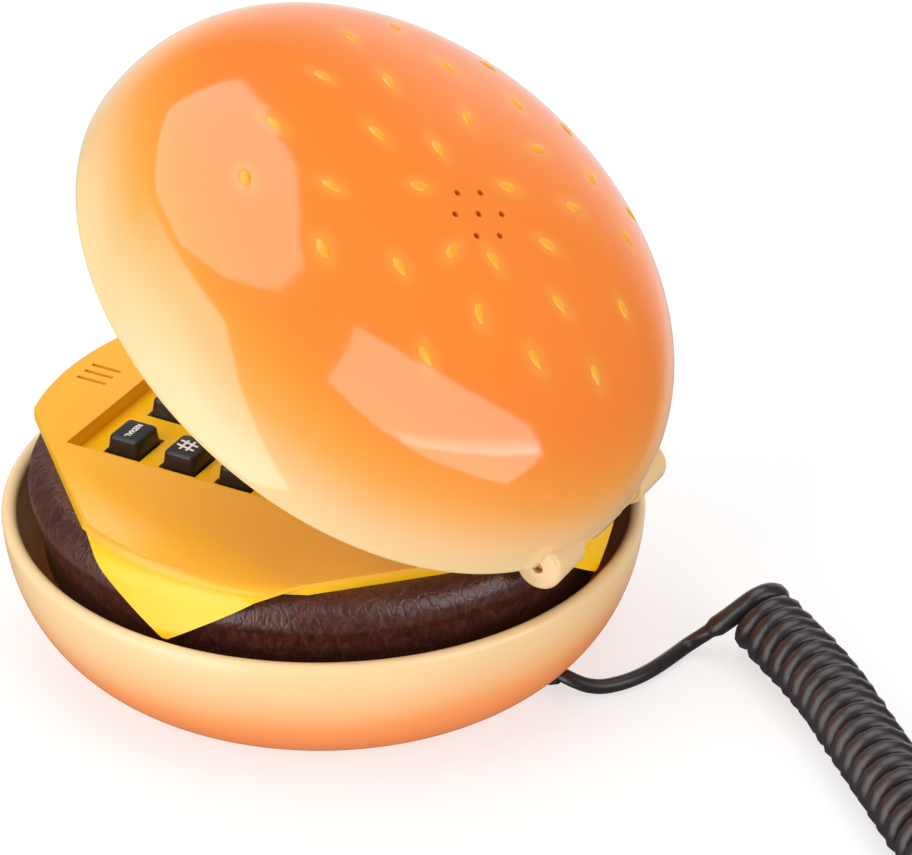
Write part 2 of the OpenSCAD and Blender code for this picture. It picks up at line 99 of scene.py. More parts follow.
# %% [markdown]
# ## Small helpers
# A colour is picked as a hex value on the screen, so one function turns it into the linear light values
# that shaders use. Another adds one shader node with its settings and its links, and a third hangs a
# finished mesh on the moving body that it belongs to.

# %% Helpers for colours, nodes and pieces
def srgb(hex_colour):
    values = [int(hex_colour[i:i + 2], 16) / 255 for i in (1, 3, 5)]
    return [v / 12.92 if v <= 0.04045 else ((v + 0.055) / 1.055) ** 2.4 for v in values] + [1.0]


def add(tree, kind, settings=None, links=None):
    node = tree.nodes.new(kind)
    for name, value in (settings or {}).items():
        if isinstance(name, int) or name in node.inputs:
            node.inputs[name].default_value = value
        else:
            setattr(node, name, value)
    for name, source in (links or {}).items():
        tree.links.new(source, node.inputs[name])
    return node


def piece(name, mesh, body, *materials):
    made = bpy.data.objects.new(name, mesh)
    bpy.context.scene.collection.objects.link(made)
    for material in materials:
        made.data.materials.append(material)
    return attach(made, body)


def to_mesh(shape, name, smooth_angle=35):
    bmesh.ops.recalc_face_normals(shape, faces=shape.faces)
    mesh = bpy.data.meshes.new(name)
    shape.to_mesh(mesh)
    shape.free()
    mesh.shade_smooth()
    mesh.set_sharp_from_angle(angle=math.radians(smooth_angle))
    return mesh


# %% [markdown]
# ## Curly cord
# The cord is one length of round cable: a thin straight tail out of the back of the base, then a
# thicker sheath wound into a tight helix, and a short tail to the line plug. A curve with a round bevel
# is the right tool, because its own line is the real length of the cable. The tail's points are laid
# along the table, and a loop winds the helix round the route of the coil.

# %% Route of the cord
TAIL = [(0, 49.2, 3.6), (0, 50.6, 3.3), (-0.4, 52.2, 2.7), (-1.2, 54, 2), (-2.8, 56.2, 1.5),
        (-5.2, 58.3, 1.4), (-8, 60, 1.4), (-11.2, 61.3, 1.4), (-15, 62.3, 1.4), (-19, 63.1, 1.4),
        (-22.4, 64, 1.7), (-24.6, 66.4, 3.6), (-25.7, 70.2, 7.3)]
COIL = [(-32.5, 72.5), (-25, 82), (-19, 90), (-12, 98), (-4, 106), (4, 114), (12, 122), (20, 130),
        (28, 139), (34, 149), (37, 160), (36, 172), (30, 183), (21, 191), (9, 195), (-4, 194),
        (-15, 188), (-23, 179), (-26, 167), (-24, 155), (-17, 146), (-6, 142), (5, 145), (12, 153), (13, 164)]
END_TAIL = [(13, 167, 2.3), (12.2, 170, 1.6), (10.4, 173, 1.4), (7.6, 175.6, 1.4), (4, 177, 1.4),
            (0.2, 177, 1.5), (-3, 175.4, 2), (-4.8, 172.8, 2.8), (-5.4, 170, 3.3), (-5.5, 168, 3.4)]
TAIL_R, WIRE_R, COIL_R = 1.4, 1.95, 6.9
WIND_R = COIL_R - WIRE_R


def smooth_route(points, step):
    """Points a step apart along a smooth curve through these points."""
    found = []
    for i in range(len(points) - 1):
        a, b, c, d = (Vector(points[max(0, min(len(points) - 1, i + k))]) for k in (-1, 0, 1, 2))
        count = max(2, round((c - b).length / step))
        for k in range(count):
            t = k / count
            found.append(0.5 * (2 * b + (c - a) * t + (2 * a - 5 * b + 4 * c - d) * t * t
                                + (3 * b - a - 3 * c + d) * t ** 3))
    return found + [Vector(points[-1])]


axis_line = smooth_route([(x, y, COIL_R) for x, y in COIL], 0.15)
route_length = sum((b - a).length for a, b in zip(axis_line, axis_line[1:]))
print("the coil's axis is", round(route_length), "mm long")

# %% [markdown]
# The tail climbs from the table to the first loop and pulls on it. So the first loops stand further
# apart than the rest and lean forward, until the winding closes up after a few turns.

# %% Wind the helix
FIRST_PITCH, LAST_PITCH, OPENING_LENGTH = 4.05, 4.4, 120
STEPS_A_TURN, START_TURN = 24, 0.10
LOOSE_LENGTH, LOOSE_PITCH, LEAN, SIDE_LEAN = 14, 2.6, 1.5, 0.5
SHEATH_START_Y, SHEATH_TAPER, END_TAPER_POINTS = 67.4, 0.9, 8
helix, turn, travelled, last_turn = [], START_TURN, 0, 0
for i in range(1, len(axis_line)):
    step = axis_line[i] - axis_line[i - 1]
    travelled += step.length
    loose = max(0, 1 - travelled / LOOSE_LENGTH)
    pitch = FIRST_PITCH + (LAST_PITCH - FIRST_PITCH) * min(1, travelled / OPENING_LENGTH) + LOOSE_PITCH * loose
    turn += step.length / pitch
    if (turn - last_turn) * STEPS_A_TURN >= 1:
        last_turn = turn
        along = step.normalized()
        outward = along.cross(Vector((0, 0, 1)))
        angle = turn * math.tau
        lean = (SIDE_LEAN + LEAN * loose) * math.cos(angle) + 2 * LEAN * loose * math.sin(angle)
        helix.append(axis_line[i] + WIND_R * (math.cos(angle) * outward + math.sin(angle) * Vector((0, 0, 1)))
                     + along * lean)
start = smooth_route(TAIL + helix[:2], 0.6)[:-2]
end = smooth_route(helix[-2:] + END_TAIL, 1.2)
line = start + helix[1:-2] + end
radii = [TAIL_R + (WIRE_R - TAIL_R) * min(1, max(0, (p.y - SHEATH_START_Y) / SHEATH_TAPER)) for p in start]
radii += [WIRE_R] * (len(helix) - 3)
radii += [WIRE_R + (TAIL_R - WIRE_R) * min(1, i / END_TAPER_POINTS) for i in range(len(end))]

# %% Make the cord
cord_curve = bpy.data.curves.new("curly_cord", "CURVE")
cord_curve.dimensions = "3D"
cord_curve.bevel_depth = 1
cord_curve.bevel_resolution = 3
cord_curve.use_fill_caps = True
spline = cord_curve.splines.new("POLY")
spline.points.add(len(line) - 1)
for place, radius, point in zip(line, radii, spline.points):
    point.co = (*(place * MM), 1)
    point.radius = radius * MM
spline.use_smooth = True
curly_cord = bpy.data.objects.new("curly_cord", cord_curve)
bpy.context.scene.collection.objects.link(curly_cord)
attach(curly_cord, "phone_base")
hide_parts("cord_tail", "cord_coil", "cord_end_tail")

# %% [markdown]
# ## Stage and light
# The telephone stands on a plain white table in a bright studio. Its lacquered dome mirrors the lamps
# as pale patches with crisp edges, so each lamp's outline matters as much as its power. A lamp a metre
# away sends nearly parallel light, and so a lamp here is a polygon of directions in the world light:
# an octagonal softbox overhead, one on the hinge side with a bright tube low in it, and a tall white
# panel beside the camera. A white backdrop behind the telephone mirrors as a band along the dome's top.

# %% Floor
floor_shape = bmesh.new()
bmesh.ops.create_grid(floor_shape, x_segments=1, y_segments=1, size=3)
floor = bpy.data.objects.new("floor", to_mesh(floor_shape, "floor"))
floor.location.z = -0.0002
bpy.context.scene.collection.objects.link(floor)
floor_material = bpy.data.materials.new("white_table")
floor_material.use_nodes = True
floor_shader = floor_material.node_tree.nodes["Principled BSDF"]
floor_shader.inputs["Base Color"].default_value = srgb("#9C9C9C")
floor_shader.inputs["Roughness"].default_value = 0.9
floor_shader.inputs["Specular IOR Level"].default_value = 0.1
floor_shader.inputs["Emission Color"].default_value = srgb("#FFFFFF")
floor_shader.inputs["Emission Strength"].default_value = 0.66
floor.data.materials.append(floor_material)
floor.visible_glossy = False

# %% Studio lamps as polygons of directions
world = bpy.data.worlds.new("studio")
bpy.context.scene.world = world
world.use_nodes = True
sky = world.node_tree
sky.nodes.clear()
looking = add(sky, "ShaderNodeTexCoord").outputs["Generated"]


def lamp_outline(corners, level, softness):
    """The light of one lamp: level inside the polygon of directions, none outside it.

    Softness is one number for every side, or one for each side, counted from the first corner."""
    corners = [Vector(c).normalized() for c in corners]
    middle = sum(corners, Vector())
    softness = softness if isinstance(softness, list) else [softness] * len(corners)
    inside = None
    for first, second, soft in zip(corners, corners[1:] + corners[:1], softness):
        side = first.cross(second).normalized()
        if side.dot(middle) < 0:
            side.negate()
        depth = add(sky, "ShaderNodeVectorMath", {"operation": "DOT_PRODUCT", 1: side}, {0: looking}).outputs["Value"]
        share = add(sky, "ShaderNodeMapRange", {"From Min": 0, "From Max": soft, "To Max": level}, {"Value": depth})
        inside = share.outputs[0] if inside is None else add(sky, "ShaderNodeMath", {"operation": "MINIMUM"},
                                                             {0: inside, 1: share.outputs[0]}).outputs[0]
    return inside


ROOM_LEVEL = 0.12
LAMPS = {
    "overhead octagon": ([(0.49, 0.04, 1), (0.50, -0.38, 1), (0.20, -0.71, 1), (-0.45, -0.82, 1),
                          (-0.80, -0.36, 1), (-0.53, 0.18, 1), (-0.06, 0.42, 1), (0.26, 0.36, 1)], 2.4, 0.015),
    "hinge side softbox": ([(-0.02, 0.60, 0.80), (0.50, 0.61, 0.61), (0.47, 0.82, 0.32), (0.32, 0.94, 0.09),
                            (-0.03, 0.98, -0.20), (-0.32, 0.95, -0.03), (-0.35, 0.92, 0.20)], 2.6, 0.015),
    "tube in the softbox": ([(0.40, 0.86, 0.36), (0.40, 0.88, 0.22), (-0.32, 0.95, -0.02), (-0.32, 0.95, 0.14)],
                            4.5, [0.02, 0.03, 0.02, 0.14]),
    "panel beside the camera": ([(0.2, -0.9, 1.0), (1, 0.06, 1.0), (1, 0.06, -0.8), (0.5, -0.9, -0.7)], 3.2,
                                [0.02, 0.02, 0.02, 0.62]),
    "white backdrop": ([(-0.30, -0.71, 0.45), (-0.77, 0, 0.62), (-0.72, 0.27, 0.60), (-0.93, 0.36, 0),
                        (-0.72, 0.27, -0.60), (-0.5, -0.8, -0.4)], 0.85,
                       [0.03, 0.35, 0.35, 0.35, 0.35, 0.35]),
}
total = None
for corners, level, soft in LAMPS.values():
    light = lamp_outline(corners, level, soft)
    total = light if total is None else add(sky, "ShaderNodeMath", {"operation": "ADD"},
                                            {0: total, 1: light}).outputs[0]
strength = add(sky, "ShaderNodeMath", {"operation": "ADD", 1: ROOM_LEVEL}, {0: total})
sky_light = add(sky, "ShaderNodeBackground", {"Color": (1, 1, 1, 1)}, {"Strength": strength.outputs[0]})
add(sky, "ShaderNodeOutputWorld", links={"Surface": sky_light.outputs[0]})
print("white table,", len(LAMPS), "lamps:", ", ".join(LAMPS))

# %% [markdown]
# ## Plastics
# Nearly every part is moulded ABS. ABS has an IOR of about 1.53, no metal in it, and a gloss that
# depends only on how the steel mould was polished. A fine grain in the bump breaks up the reflection,
# and a slow noise shifts the colour a little, as uneven pigment does.

# %% A general moulded plastic
def new_material(name, roughness, ior=1.5, **shader_values):
    material = bpy.data.materials.new(name)
    material.use_nodes = True
    tree = material.node_tree
    shader = tree.nodes["Principled BSDF"]
    shader.inputs["Roughness"].default_value = roughness
    shader.inputs["IOR"].default_value = ior
    for key, value in shader_values.items():
        shader.inputs[key.replace("_", " ")].default_value = value
    return material, tree, shader


def object_place(tree):
    return add(tree, "ShaderNodeTexCoord").outputs["Object"]


def surface_grain(tree, shader, place, grain_mm, depth_mm):
    grain = add(tree, "ShaderNodeTexNoise", {"Scale": 1 / (grain_mm * MM), "Detail": 3.0}, {"Vector": place})
    bump = add(tree, "ShaderNodeBump", {"Strength": 1.0, "Distance": depth_mm * MM}, {"Height": grain.outputs["Fac"]})
    tree.links.new(bump.outputs["Normal"], shader.inputs["Normal"])


def ramp_of(tree, factor, *stops):
    """A colour ramp with stops of (position, hex colour)."""
    ramp = add(tree, "ShaderNodeValToRGB", links={"Fac": factor})
    while len(ramp.color_ramp.elements) < len(stops):
        ramp.color_ramp.elements.new(0.5)
    for element, (position, hex_colour) in zip(ramp.color_ramp.elements, stops):
        element.position = position
        element.color = srgb(hex_colour)
    return ramp.outputs["Color"]


def blended(tree, factor, first, second):
    """Two colours, sockets or hex values, mixed by a factor socket."""
    mix = add(tree, "ShaderNodeMix", {"data_type": "RGBA"})
    tree.links.new(factor, mix.inputs["Factor"])
    for socket, value in zip([i for i in mix.inputs if i.type == "RGBA"], (first, second)):
        if isinstance(value, str):
            socket.default_value = srgb(value)
        else:
            tree.links.new(value, socket)
    return next(o for o in mix.outputs if o.type == "RGBA")


def moulded(name, light_hex, dark_hex, roughness, grain_mm=0.8, depth_mm=0.02, ior=1.53, **values):
    """A moulded or cast surface: a colour that drifts between two shades, with a fine grain."""
    material, tree, shader = new_material(name, roughness, ior, **values)
    place = object_place(tree)
    drift = add(tree, "ShaderNodeTexNoise", {"Scale": 1 / (12 * MM), "Detail": 2.0}, {"Vector": place})
    tree.links.new(blended(tree, drift.outputs["Fac"], light_hex, dark_hex), shader.inputs["Base Color"])
    surface_grain(tree, shader, place, grain_mm, depth_mm)
    return material


cord_pvc = moulded("cord_black_brown_pvc", "#30272A", "#231B1D", 0.33, grain_mm=0.6, depth_mm=0.03)
curly_cord.data.materials.append(cord_pvc)

# %% [markdown]
# ## Softened mouldings
# The engineering solids have perfectly sharp edges, and no moulding does. A copy of a solid gets its
# triangles merged back into faces, its edges rounded by a bevel a few tenths of a millimetre wide, and
# smooth shading. The rounding is what catches the thin highlights along the edges of the cheese slice.


def softened(node, material, edge_mm=0.25, name=None):
    source = nodes[node]
    shape = bmesh.new()
    shape.from_mesh(source.data)
    bmesh.ops.remove_doubles(shape, verts=shape.verts, dist=0.002 * MM)
    bmesh.ops.dissolve_limit(shape, angle_limit=math.radians(1), verts=shape.verts, edges=shape.edges)
    mesh = to_mesh(shape, name or node + "_skin", 30)
    made = piece(name or node + "_skin", mesh, source["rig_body"], material)
    if edge_mm:
        bevel = made.modifiers.new("round_edges", "BEVEL")
        bevel.limit_method = "ANGLE"
        bevel.angle_limit = math.radians(40)
        bevel.width = edge_mm * MM
        bevel.segments = 2
        bevel.harden_normals = True
    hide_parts(node)
    return made


# %% [markdown]
# ## Top bun
# The lid is a thin dome. Its curve is a superellipse: rounder than a ball near the rim and flatter on
# top. Spinning the profile makes it in one step, with a wall of even thickness and a rounded rim.
# It is modelled shut and then swung open about the hinge, by the angle that the hinge joint gives.

# %% The lid's own place
hinge = next(j for j in frame["joints"] if j["name"] == "lid_hinge")
HINGE_POINT = Vector(hinge["pos_m"])
OPEN_ANGLE = math.radians(-hinge["range_deg"][0])
swing_open = (Matrix.Translation(HINGE_POINT) @ Matrix.Rotation(-OPEN_ANGLE, 4, "X")
              @ Matrix.Translation(-HINGE_POINT))
LID_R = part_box("top_bun_shell")[1].x / MM
LID_RIM_Z, LID_H, LID_WALL, LID_POWER = 38.6, 33.7, 2.4, 2.4
print("lid radius", round(LID_R, 2), "mm, open by", round(math.degrees(OPEN_ANGLE), 1), "degrees")


def dome(radius, height, angle):
    return Vector((radius * math.cos(angle) ** (2 / LID_POWER), 0,
                   LID_RIM_Z + height * math.sin(angle) ** (2 / LID_POWER)))


def dome_point(x, y):
    across = (math.hypot(x, y) / LID_R) ** LID_POWER
    return Vector((x, y, LID_RIM_Z + LID_H * (1 - across) ** (1 / LID_POWER)))


def dome_normal(point):
    across = math.hypot(point.x, point.y)
    slope = (across / LID_R) ** (LID_POWER - 1) / LID_R
    rise = ((point.z - LID_RIM_Z) / LID_H) ** (LID_POWER - 1) / LID_H
    return Vector((slope * point.x / across, slope * point.y / across, rise)).normalized()


def spun(profile, steps, closed_profile=False):
    """A bmesh made by spinning a profile, points in millimetres with y = 0, once round the Z axis."""
    shape = bmesh.new()
    verts = [shape.verts.new(p) for p in profile]
    edges = [shape.edges.new(pair) for pair in zip(verts, verts[1:])]
    if closed_profile:
        edges.append(shape.edges.new((verts[-1], verts[0])))
    bmesh.ops.spin(shape, geom=verts + edges, cent=(0, 0, 0), axis=(0, 0, 1), angle=math.tau, steps=steps,
                   use_merge=True)
    bmesh.ops.remove_doubles(shape, verts=shape.verts, dist=0.0005)
    return shape


# %% Seeds on the lid, listed on the shut dome: x, y and the way the long axis points
SEEDS = [(-14, -34, 55), (2, -31, 100), (-8, -23, 55), (-25, -19, 90), (19, -30, 80), (6, -17, 80), (-2, -8, 70),
         (-15, -9, 40), (-32, -6, 70), (-24, 3, 155), (-33, 13, 25), (32, -26, 45), (23, -15, 105), (9, -5, 140),
         (-8, 5, 135), (-19, 15, 140), (-29, 25, 85), (34, -8, 60), (26, 3, 70), (15, 7, 5), (9, 13, 75),
         (-5, 17, 115), (20, 18, 50), (3, 26, 90), (-12, 34, 80), (34, 17, 70), (16, 30, 85), (5, 39, 80),
         (-28, -31, 20), (-39, -15, 110), (-42, 3, 60), (-40, 22, 130)]
SEED_LONG, SEED_WIDE, SEED_PROUD, SEED_PINCH = 2.25, 1.3, 0.45, 0.22

# %% Spin the dome
rim_r = LID_WALL / 2
rim = [Vector((LID_R - rim_r + rim_r * math.cos(a), 0, LID_RIM_Z + rim_r + rim_r * math.sin(a)))
       for a in (math.radians(-180 + 15 * i) for i in range(12))]
outside = [dome(LID_R, LID_H, math.radians(1.5 + 88.5 * i / 96)) for i in range(97)]
inside = [dome(LID_R - LID_WALL, LID_H - LID_WALL, math.radians(90 - 86 * i / 30)) for i in range(31)]
lid_shape = spun(rim + outside + inside, 256, closed_profile=True)
print("dome:", len(lid_shape.verts), "points")

# %% [markdown]
# The seeds are moulded into the steel tool, so each one stands proud of the dome in a shallow moat.
# The moat is pressed into the dense mesh by moving its points, and the same distances are stored as a
# point attribute, which the paint uses for the pale ring that the airbrush leaves round a seed.

# %% Press the moats and store the glow round the seeds
def seed_distance(point, seed):
    """How far a point is from a seed's middle, in seed sizes, 1 on the seed's outline."""
    away = Vector((point.x - seed[0], point.y - seed[1]))
    lean = 1 / max(0.55, dome_normal(dome_point(seed[0], seed[1])).z)
    turn = math.radians(seed[2])
    along = away.x * math.cos(turn) + away.y * math.sin(turn)
    across = -away.x * math.sin(turn) + away.y * math.cos(turn)
    return math.hypot(along / SEED_LONG, across / SEED_WIDE) * (1 + 0.3 * (lean - 1))


glow_values = []
for vert in lid_shape.verts:
    glow = 0
    if vert.co.z > LID_RIM_Z + 6 and math.hypot(vert.co.x, vert.co.y) < 52:
        for seed in SEEDS:
            if abs(vert.co.x - seed[0]) < 6 and abs(vert.co.y - seed[1]) < 6:
                ring = seed_distance(vert.co, seed)
                glow = max(glow, math.exp(-((ring - 1) / 0.8) ** 2))
                vert.co -= dome_normal(vert.co) * 0.02 * math.exp(-((ring - 1.5) / 0.5) ** 2)
    glow_values.append(glow)
lid_mesh = to_mesh(lid_shape, "lid_dome", 40)
layer = lid_mesh.attributes.new("seed_glow", "FLOAT", "POINT")
layer.data.foreach_set("value", glow_values)
lid_mesh.transform(Matrix.Scale(MM, 4))
print("glow stored on", len(glow_values), "points")


# %% Cutting holes
def cut(mesh, *cutters):
    """The mesh less these closed bmeshes."""
    body = bpy.data.objects.new("to_cut", mesh)
    bpy.context.scene.collection.objects.link(body)
    helpers = []
    for shape in cutters:
        bmesh.ops.recalc_face_normals(shape, faces=shape.faces)
        tool_mesh = bpy.data.meshes.new("cutter")
        shape.to_mesh(tool_mesh)
        shape.free()
        tool = bpy.data.objects.new("cutter", tool_mesh)
        bpy.context.scene.collection.objects.link(tool)
        helpers.append(tool)
        difference = body.modifiers.new("cut", "BOOLEAN")
        difference.operation = "DIFFERENCE"
        difference.solver = "EXACT"
        difference.object = tool
    bpy.context.view_layer.update()
    found = bpy.data.meshes.new_from_object(body.evaluated_get(bpy.context.evaluated_depsgraph_get()))
    for tool in helpers + [body]:
        bpy.data.objects.remove(tool)
    found.shade_smooth()
    found.set_sharp_from_angle(angle=math.radians(40))
    return found


def rod(x, y, low_z, high_z, radius, segments=32):
    """An upright cylinder in millimetres, as a bmesh in metres."""
    shape = bmesh.new()
    middle = Matrix.Translation(Vector((x, y, (low_z + high_z) / 2)) * MM)
    bmesh.ops.create_cone(shape, cap_ends=True, segments=segments, radius1=radius * MM, radius2=radius * MM,
                          depth=(high_z - low_z) * MM, matrix=middle)
    return shape


def cross_rod(x0, x1, radius, segments=48):
    """A cylinder along the hinge axis from x0 to x1, millimetres, as a bmesh in metres."""
    shape = bmesh.new()
    middle = (Matrix.Translation(((x0 + x1) / 2 * MM, HINGE_POINT.y, HINGE_POINT.z))
              @ Matrix.Rotation(math.pi / 2, 4, "Y"))
    bmesh.ops.create_cone(shape, cap_ends=True, segments=segments, radius1=radius * MM, radius2=radius * MM,
                          depth=(x1 - x0) * MM, matrix=middle)
    return shape


# %% Ringer holes and hinge notches
RINGER, RINGER_RING, RINGER_HOLE = Vector((3.4, 5.2)), 5.2, 0.65
hole_places = [RINGER]
for i in range(6):
    around = math.radians(60 * i + 30)
    hole_places.append(RINGER + RINGER_RING * Vector((math.cos(around), math.sin(around))))
dome_top = LID_RIM_Z + LID_H
holes = [rod(x, y, dome_top - 6.3, dome_top + 5.7, RINGER_HOLE, 16) for x, y in hole_places]
NOTCH_X, NOTCH_R = (6.8, 10.8), 4.0
notches = [cross_rod(NOTCH_X[0], NOTCH_X[1], NOTCH_R), cross_rod(-NOTCH_X[1], -NOTCH_X[0], NOTCH_R)]
lid_mesh = cut(lid_mesh, *holes, *notches)
lid_mesh.transform(swing_open)

# %% [markdown]
# ## Airbrushed ABS
# Both buns are moulded in cream ABS and airbrushed orange, the lid from the top down and the base from
# the bottom up, then lacquered. A colour ramp over the height above the rim gives the fade, and a
# slow noise moves the spray's edge up and down. The lacquer gives a clear, hardly blurred reflection.

# %% Lid paint
lid_paint, tree, shader = new_material("airbrushed_abs_lid", 0.09, 1.6)
place = object_place(tree)
upright = swing_open.to_3x3() @ Vector((0, 0, 1))
rim_level = upright.dot(swing_open @ Vector((0, 0, LID_RIM_Z * MM)))
along_axis = add(tree, "ShaderNodeVectorMath", {"operation": "DOT_PRODUCT", 1: upright}, {0: place}).outputs["Value"]
height = add(tree, "ShaderNodeMapRange", {"From Min": rim_level, "From Max": rim_level + LID_H * MM},
             {"Value": along_axis}).outputs[0]
spray = add(tree, "ShaderNodeTexNoise", {"Scale": 1 / (45 * MM), "Detail": 1.0}, {"Vector": place})
wander = add(tree, "ShaderNodeMath", {"operation": "MULTIPLY_ADD", 1: 0.12, 2: -0.06}, {0: spray.outputs["Fac"]})
faded = add(tree, "ShaderNodeMath", {"operation": "SUBTRACT"}, {0: height, 1: wander.outputs[0]})
fade = ramp_of(tree, faded.outputs[0], (0.0, "#F1D49C"), (0.12, "#F1C993"), (0.20, "#F1C289"), (0.275, "#F1B778"),
               (0.33, "#F1AF6B"), (0.38, "#F1A75A"), (0.43, "#F19F4D"), (0.48, "#F19943"), (0.54, "#F1923B"),
               (0.62, "#F18833"), (0.72, "#F18232"), (1.0, "#F18332"))
glow = add(tree, "ShaderNodeAttribute", {"attribute_name": "seed_glow"}).outputs["Fac"]
soft_glow = add(tree, "ShaderNodeMath", {"operation": "MULTIPLY", 1: 0.5}, {0: glow})
tree.links.new(blended(tree, soft_glow.outputs[0], fade, "#F49C44"), shader.inputs["Base Color"])
surface_grain(tree, shader, place, 9, 0.05)
top_bun = piece("top_bun_dome", lid_mesh, "lid", lid_paint)
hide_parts("top_bun_shell")
print("top bun:", len(lid_mesh.polygons), "faces")

# %% Sesame seeds
seed_shape = bmesh.new()
for x, y, turn in SEEDS:
    middle = dome_point(x, y)
    normal = dome_normal(middle)
    tilt = normal.to_track_quat("Z", "X").to_matrix().to_4x4()
    heading = tilt.inverted() @ Vector((math.cos(math.radians(turn)), math.sin(math.radians(turn)), 0))
    spin_round = Matrix.Rotation(math.atan2(heading.y, heading.x), 4, "Z")
    stretch = Matrix.Diagonal((SEED_LONG, SEED_WIDE, SEED_PROUD * 1.6, 1))
    seat = Matrix.Translation(middle - normal * SEED_PROUD * 0.9) @ tilt @ spin_round
    made = bmesh.ops.create_uvsphere(seed_shape, u_segments=24, v_segments=14, radius=1,
                                     matrix=Matrix.Scale(MM, 4) @ seat @ stretch)
    for vert in made["verts"]:
        local = seat.inverted() @ (vert.co / MM)
        local.y *= 1 - SEED_PINCH * max(0, local.x / SEED_LONG)
        vert.co = (seat @ local) * MM
seed_mesh = to_mesh(seed_shape, "sesame_seeds", 80)
seed_mesh.transform(swing_open)
seed_paint = moulded("seed_yellow_lacquer", "#F2A52C", "#EE9A22", 0.3, grain_mm=0.7, depth_mm=0.03)
piece("sesame_seeds", seed_mesh, "lid", seed_paint)
print(len(SEEDS), "seeds")

# %% [markdown]
# ## Hinge knuckles
# Two round knuckles grow out of the lid's rim and turn on steel pins. A cylinder with rounded ends is
# laid along the hinge axis, and the pin's hole goes right through.

# %% Knuckles
knuckle_paint = moulded("cream_abs_knuckles", "#EFCB98", "#EBC48E", 0.25, grain_mm=1.5)
KNUCKLE_X, KNUCKLE_R, PIN_R = (11, 21.4), 4.4, 1.05
for side_name, sign in (("right", 1), ("left", -1)):
    low, high = sorted((sign * KNUCKLE_X[0], sign * KNUCKLE_X[1]))
    knuckle = cross_rod(low, high, KNUCKLE_R)
    sharp = math.radians(57)
    ends = [e for e in knuckle.edges if e.calc_face_angle(0) > sharp]
    bmesh.ops.bevel(knuckle, geom=ends, offset=0.9 * MM, affect="EDGES", segments=4, profile=0.5, material=-1)
    knuckle_mesh = cut(to_mesh(knuckle, "knuckle", 40), cross_rod(low - 1, high + 1, PIN_R, 24))
    knuckle_mesh.transform(swing_open)
    piece("knuckle_" + side_name, knuckle_mesh, "lid", knuckle_paint)
pin_steel, tree, shader = new_material("copper_plated_steel_pin", 0.35, Metallic=1.0, Base_Color=srgb("#B8794A"))
surface_grain(tree, shader, object_place(tree), 0.4, 0.01)
softened("hinge_pins", pin_steel, 0.15)

# %% [markdown]
# ## Bottom bun
# The base is a bowl: its outside is a quarter of an ellipse that runs into a flat underside. The
# profile is spun like the lid's, and the screw wells, the switch windows, the groove for the foot ring
# and the cord's outlet are then cut out of it.

# %% Spin the bowl
BUN_R, BUN_RIM_Z, BUN_FOOT_R, BUN_WALL = 59, 28.1, 37.7, 2.6
FLOOR_LOW, FLOOR_TOP, RIM_ROUND = 0.8, 3, 1.38


def quarter(rx, rz, start, stop, count):
    angles = (math.radians(start + (stop - start) * i / count) for i in range(count + 1))
    return [Vector((BUN_FOOT_R + rx * math.cos(a), 0, BUN_RIM_Z - rz * math.sin(a))) for a in angles]


bowl_outside = [p for p in quarter(BUN_R - BUN_FOOT_R, BUN_RIM_Z, 84, 5, 60) if p.z > FLOOR_LOW + 0.05]
bowl_inside = quarter(BUN_R - BUN_FOOT_R - BUN_WALL, BUN_RIM_Z - FLOOR_TOP, 5, 90, 30)
rim_arc = [Vector((BUN_R - RIM_ROUND + RIM_ROUND * math.cos(a), 0, BUN_RIM_Z - RIM_ROUND + RIM_ROUND * math.sin(a)))
           for a in (math.radians(15 * i) for i in range(13))]
flat_rings = [Vector((r, 0, FLOOR_LOW)) for r in (0, 12, 24, 36, 41.5)]
bowl_shape = spun(flat_rings + bowl_outside + rim_arc + bowl_inside + [Vector((0, 0, FLOOR_TOP))], 192)
bowl_mesh = to_mesh(bowl_shape, "bowl", 40)
bowl_mesh.transform(Matrix.Scale(MM, 4))

# %% Cut the bowl's underside
SCREW_X, SCREW_Y, WELL_R = 26.3, 9.6, 3.1
GROOVE_RADII, GROOVE_TOP = (33.5, 37), 1.4
WINDOW_X, WINDOW_Y, WINDOW_SIZE = 12, -26, (9, 4, 4)
OUTLET_R, OUTLET_Z = 2.3, TAIL[0][2]
wells = [rod(sx * SCREW_X, sy * SCREW_Y, 0, 5, WELL_R) for sx in (-1, 1) for sy in (-1, 1)]
inner_r, outer_r = GROOVE_RADII
groove = spun([Vector(p) for p in ((inner_r, 0, -1), (outer_r, 0, -1), (outer_r, 0, GROOVE_TOP),
                                   (inner_r, 0, GROOVE_TOP))], 96, closed_profile=True)
groove.transform(Matrix.Scale(MM, 4))
windows = []
for x in (-WINDOW_X, WINDOW_X):
    opening = bmesh.new()
    bmesh.ops.create_cube(opening, size=1, matrix=Matrix.Translation(Vector((x, WINDOW_Y, 2)) * MM)
                          @ Matrix.Diagonal((*(side * MM for side in WINDOW_SIZE), 1)))
    windows.append(opening)
outlet = bmesh.new()
bmesh.ops.create_cone(outlet, cap_ends=True, segments=32, radius1=OUTLET_R * MM, radius2=OUTLET_R * MM, depth=16 * MM,
                      matrix=Matrix.Translation(Vector((0, 43, OUTLET_Z)) * MM) @ Matrix.Rotation(math.pi / 2, 4, "X"))
bowl_mesh = cut(bowl_mesh, *wells, groove, *windows, outlet)

